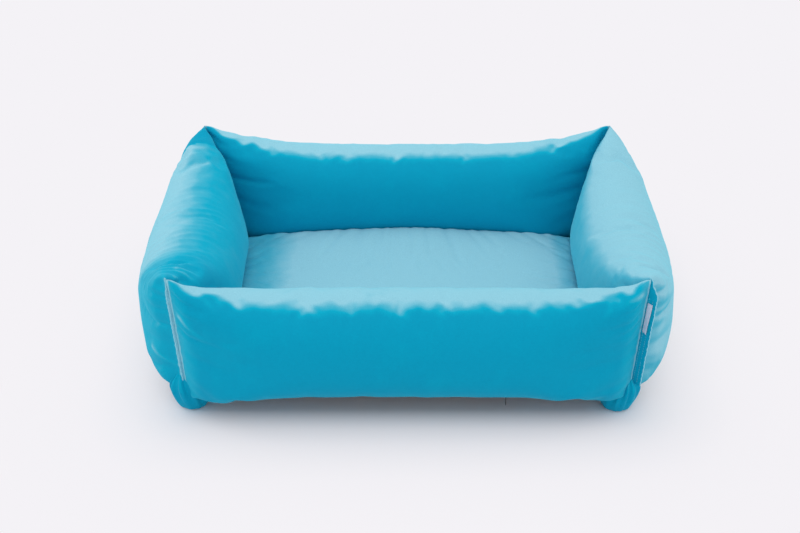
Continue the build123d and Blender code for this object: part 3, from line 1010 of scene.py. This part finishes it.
def makeFlange(width):
    # in the corner's own plane: x is out along the diagonal, y is through the cloth, z is up
    build = bmesh.new()
    bmesh.ops.create_grid(build, x_segments=8, y_segments=96, size=0.5)
    top, bottom, lap = bed["earHeight"] - 1 * mm, corner["bottom"], corner["lap"]
    for point in build.verts:
        across, up = point.co.x + 0.5, point.co.y + 0.5
        height = bottom + (top - bottom) * up
        height -= corner["topSlope"] * across * smoothShare((up - 0.6) / 0.4)
        here = (width + lap) * (0.25 + 0.75 * smoothShare((1 - up) / corner["topTaper"]))
        out = seamOut(height) * math.sqrt(2) - lap + here * across
        wave = noise.noise(Vector((across * 0.8, up * 26, 4.2))) * corner["pucker"]
        wave += math.sin(up * 150) * 0.25 * mm * across
        point.co = (out, wave * across * 2, height)
    bmesh.ops.recalc_face_normals(build, faces=build.faces)
    bmesh.ops.solidify(build, geom=build.faces[:], thickness=corner["thickness"])
    middle = sum(point.co.y for point in build.verts) / len(build.verts)
    bmesh.ops.translate(build, verts=build.verts, vec=(0, -middle, 0))
    rim = [edge for edge in build.edges if edge.calc_face_angle(0) > 1.2]
    bmesh.ops.bevel(
        build,
        geom=rim,
        offset=corner["rounding"],
        affect="EDGES",
        segments=2,
        profile=0.5,
        material=-1,
        clamp_overlap=True,
    )
    bmesh.ops.recalc_face_normals(build, faces=build.faces)
    stitchLow, stitchHigh = corner["stitchEnds"]
    for line in corner["stitchLines"] if width > corner["wideEnough"] else ():
        height = bottom + stitchLow
        while height < top - stitchHigh:
            out = seamOut(height) * math.sqrt(2) - lap + (width + lap) * line
            for face in (-1, 1):
                made = bmesh.ops.create_uvsphere(build, u_segments=6, v_segments=4, radius=1)
                stitch = made["verts"]
                bmesh.ops.scale(build, verts=stitch, vec=corner["stitchSize"])
                side = face * (corner["thickness"] / 2 + 0.1 * mm)
                bmesh.ops.translate(build, verts=stitch, vec=(out, side, height))
                for sewnFace in {f for v in stitch for f in v.link_faces}:
                    sewnFace.material_index = 1
            height += corner["stitchPitch"]
    return meshFrom("flange", build)


foot = {  # its outline is given as heights and radii in millimetres
    "outline": (
        (0, 13),
        (0.5, 19),
        (3, 22),
        (9, 24.5),
        (16, 26),
        (24, 26),
        (32, 25),
        (40, 23),
        (47, 19),
        (54, 14),
        (60, 8),
        (64, 4),
    ),
    "around": 132,
    "pleats": 11,
    "pleatDepth": (0.02, 0.10),
    "setBack": 11 * mm,
}


def makeFoot():
    # the gathered end of the seam, pleated like a skirt that hangs from the flange's end
    build = bmesh.new()
    bmesh.ops.create_circle(build, cap_ends=False, segments=foot["around"], radius=1)
    ring = list(build.edges)
    rings = [list(build.verts)]
    for _ in foot["outline"][1:]:
        grown = bmesh.ops.extrude_edge_only(build, edges=ring)["geom"]
        ring = [part for part in grown if isinstance(part, bmesh.types.BMEdge)]
        rings.append([part for part in grown if isinstance(part, bmesh.types.BMVert)])
    shallow, deeper = foot["pleatDepth"]
    topHeight = foot["outline"][-1][0]
    for points, (height, radius) in zip(rings, foot["outline"]):
        outShift = foot["setBack"] * math.sqrt(2) * smoothShare(height / topHeight)
        for point in points:
            angle = math.atan2(point.co.y, point.co.x)
            wander = noise.noise(Vector((math.cos(angle), math.sin(angle), 7.7))) * 1.6
            pleat = math.cos(angle * foot["pleats"] + wander * 2 + height * 0.03)
            depth = shallow + deeper * smoothShare((height - 8) / 40)
            reach = radius * (1 + depth * (abs(pleat) ** 0.6 * math.copysign(1, pleat))) * mm
            point.co = (reach * math.cos(angle) + outShift, reach * math.sin(angle), height * mm)
    bmesh.ops.holes_fill(build, edges=build.edges, sides=0)
    bmesh.ops.recalc_face_normals(build, faces=build.faces)
    return meshFrom("foot", build)


def placeCorner(mesh, signs, outShift=0.0, aside=(0, 0)):
    # turns a piece made in the corner's own plane onto its diagonal
    x, y = signs[0] * bed["seamX"] + aside[0], signs[1] * bed["seamY"] + aside[1]
    turn = Matrix.Rotation(math.atan2(signs[1], signs[0]), 4, "Z")
    mesh.transform(Matrix.Translation((x, y, 0)) @ turn @ Matrix.Translation((outShift, 0, 0)))


for name, place in corners.items():
    flangeMesh = makeFlange(place["width"])
    flangeMesh.update()
    # painted highlights: the flange's rims are pale, and the faces of the wide flanges darker
    pale = 0.95
    dull = 0.2 if place["width"] > corner["wideEnough"] else pale
    keepPaintedLight(flangeMesh, [dull if abs(point.normal.y) > 0.8 else pale for point in flangeMesh.vertices])
    placeCorner(flangeMesh, place["signs"])
    flange = addPiece(name + "Flange", flangeMesh, "velvet", finishes=["velvet", "thread"])
    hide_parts(place["node"] + "_corner_seam")
    footMesh = makeFoot()
    footMesh.update()
    # painted light: the foot is paler where it faces up
    keepPaintedLight(footMesh, [0.35 * smoothShare((point.normal.z + 0.2) / 0.8) for point in footMesh.vertices])
    shift = (seamOut(bed["seamBottom"]) - foot["setBack"]) * math.sqrt(2)
    placeCorner(footMesh, place["signs"], shift, place["aside"])
    footPiece = addPiece(name + "Foot", footMesh, "velvet")
    subdivide(footPiece)
print("corners sewn")


label = {
    "width": 9 * mm,
    "height": 50 * mm,
    "top": 192 * mm,
    "lap": 1.5 * mm,
    "thickness": 0.55 * mm,
    "offFlange": 0.7 * mm,
    "curl": 0.5 * mm,
    "twist": 0.35,
}


def makeLabel():
    # a flat tape sewn in at the seam, whose lower end has turned a little towards the front
    build = bmesh.new()
    bmesh.ops.create_grid(build, x_segments=6, y_segments=24, size=0.5)
    for point in build.verts:
        across, up = point.co.x + 0.5, point.co.y + 0.5
        height = label["top"] - label["height"] * (1 - up)
        curl = label["curl"] * across**2 * (0.6 + math.sin(up * 5.0))
        turned = label["twist"] * (0.4 + 0.6 * smoothShare(1 - up))
        reach = label["width"] * across
        out = seamOut(height) * math.sqrt(2) + label["lap"] + reach * math.cos(turned)
        through = corner["thickness"] / 2 + label["offFlange"] + curl + reach * math.sin(turned)
        point.co = (out, -through, height)
    bmesh.ops.recalc_face_normals(build, faces=build.faces)
    bmesh.ops.solidify(build, geom=build.faces[:], thickness=label["thickness"])
    return meshFrom("label", build)


labelMesh = makeLabel()
placeCorner(labelMesh, corners["frontRight"]["signs"])
labelPiece = addPiece("sideLabel", labelMesh, "label")
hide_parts("side_label")
print("label sewn")


base = {
    "halfX": 275 * mm,
    "halfY": 191 * mm,
    "rim": 36 * mm,
    "cornerRadius": 62 * mm,
    "thickness": 1.4 * mm,
    "lift": 0.8 * mm,
    "offCover": 0.8 * mm,
    "cellsX": 90,
    "cellsY": 64,
}
slope = base["rim"] * math.sqrt(2)  # the rim's width, as it rises at 45 degrees


def rimReach(fold, outward):
    # how far up its slope the base's rim runs before it meets a bolster
    nearest = min(tree.ray_cast(fold, outward, 0.2)[3] or 1.0 for tree in coverTrees)
    return min(1.25, max(0.6, (nearest - base["offCover"]) / slope)) if nearest < 1.0 else 1.0


def makeBase():
    # a flat bottom with rounded corners, whose rim slopes up to the bolsters
    build = bmesh.new()
    bmesh.ops.create_grid(build, x_segments=base["cellsX"], y_segments=base["cellsY"], size=1)
    cutX, cutY, rounding = base["halfX"] + slope, base["halfY"] + slope, base["cornerRadius"]
    for point in build.verts:
        x, y = point.co.x * cutX, point.co.y * cutY
        pastX, pastY = abs(x) - (cutX - rounding), abs(y) - (cutY - rounding)
        if pastX > 0 and pastY > 0:
            shrink = max(pastX, pastY) / math.hypot(pastX, pastY)
            x = math.copysign(cutX - rounding + pastX * shrink, x)
            y = math.copysign(cutY - rounding + pastY * shrink, y)
        upX = math.copysign(max(0.0, abs(x) - base["halfX"]), x)
        upY = math.copysign(max(0.0, abs(y) - base["halfY"]), y)
        place = Vector((x - upX, y - upY, base["lift"]))
        up = math.hypot(upX, upY)
        if up > 0:
            outward = Vector((upX, upY, up)).normalized()
            place += outward * up * rimReach(place, outward)
            place.z += noise.noise(Vector((x * 18, y * 18, 1.7))) * 0.3 * mm
        point.co = place
    return build


baseMesh = meshFrom("baseCloth", makeBase())
basePiece = addPiece("baseCloth", baseMesh, "base_cloth")
thick = basePiece.modifiers.new("thickness", "SOLIDIFY")
thick.thickness = base["thickness"]
thick.offset = 0
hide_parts("base_cloth")
print("base cloth laid")

# the zips keep their own solids, and get their finishes
for name, node in frame["nodes"].items():
    for kind, slot in (
        ("tapes", "zip_tape"),
        ("teeth", "zip_teeth"),
        ("stops", "zip_metal"),
        ("slider", "zip_metal"),
        ("pull", "zip_metal"),
    ):
        if name.endswith("_zip_" + kind):
            for place in node.material_slots:
                place.material = materials[slot]
print("zips finished")


def addVector(tree, operation, first, second=None):
    node = tree.nodes.new("ShaderNodeVectorMath")
    node.operation = operation
    tree.links.new(first, node.inputs[0])
    if second is not None:
        node.inputs[1].default_value = second
    return node.outputs["Value"] if operation == "LENGTH" else node.outputs["Vector"]


def makeFloor():
    # shadowed near the bed, and paper white further out where the camera sees it
    constants = {"Base Color": (*studio["floorColour"], 1), "Specular IOR Level": 0.1}
    material, tree, surface = newMaterial("floor", 0.9, constants)
    place = tree.nodes.new("ShaderNodeTexCoord")
    outside = addVector(tree, "ABSOLUTE", place.outputs["Object"])
    outside = addVector(tree, "SUBTRACT", outside, studio["footprint"])
    outside = addVector(tree, "MAXIMUM", outside, (0, 0, 0))
    away = addMath(tree, "DIVIDE", addVector(tree, "LENGTH", outside), studio["sweepStart"])
    share = addRamp(tree, away, [(stop, (grey, grey, grey)) for stop, grey in studio["sweepStops"]])
    path = tree.nodes.new("ShaderNodeLightPath")
    seen = addMath(tree, "MAXIMUM", path.outputs["Is Camera Ray"], path.outputs["Is Glossy Ray"])
    seen = addMath(tree, "MAXIMUM", seen, path.outputs["Is Transmission Ray"])
    sweep = tree.nodes.new("ShaderNodeEmission")
    sweep.inputs["Color"].default_value = (*studio["sweepColour"], 1)
    blend = tree.nodes.new("ShaderNodeMixShader")
    tree.links.new(addMath(tree, "MULTIPLY", share, seen), blend.inputs[0])
    tree.links.new(surface.outputs[0], blend.inputs[1])
    tree.links.new(sweep.outputs[0], blend.inputs[2])
    tree.links.new(blend.outputs[0], tree.nodes["Material Output"].inputs["Surface"])
    return material


build = bmesh.new()
bmesh.ops.create_grid(build, x_segments=2, y_segments=2, size=studio["floorSize"] / 2)
floor = bpy.data.objects.new("floor", meshFrom("floor", build))
scene.collection.objects.link(floor)
floor.data.materials.append(makeFloor())

world = bpy.data.worlds.new("studio")
world.use_nodes = True
world.node_tree.nodes["Background"].inputs["Color"].default_value = (*studio["worldColour"], 1)
world.node_tree.nodes["Background"].inputs["Strength"].default_value = studio["worldStrength"]
scene.world = world
lamp = bpy.data.objects.new("softbox", bpy.data.lights.new("softbox", "AREA"))
lamp.data.energy = studio["lampPower"]
lamp.data.size = studio["lampSize"]
lamp.location = studio["lampPlace"]
lamp.rotation_euler = (-Vector(studio["lampPlace"])).to_track_quat("-Z", "Y").to_euler()
scene.collection.objects.link(lamp)
scene.view_settings.view_transform = "Standard"
print("studio lit")
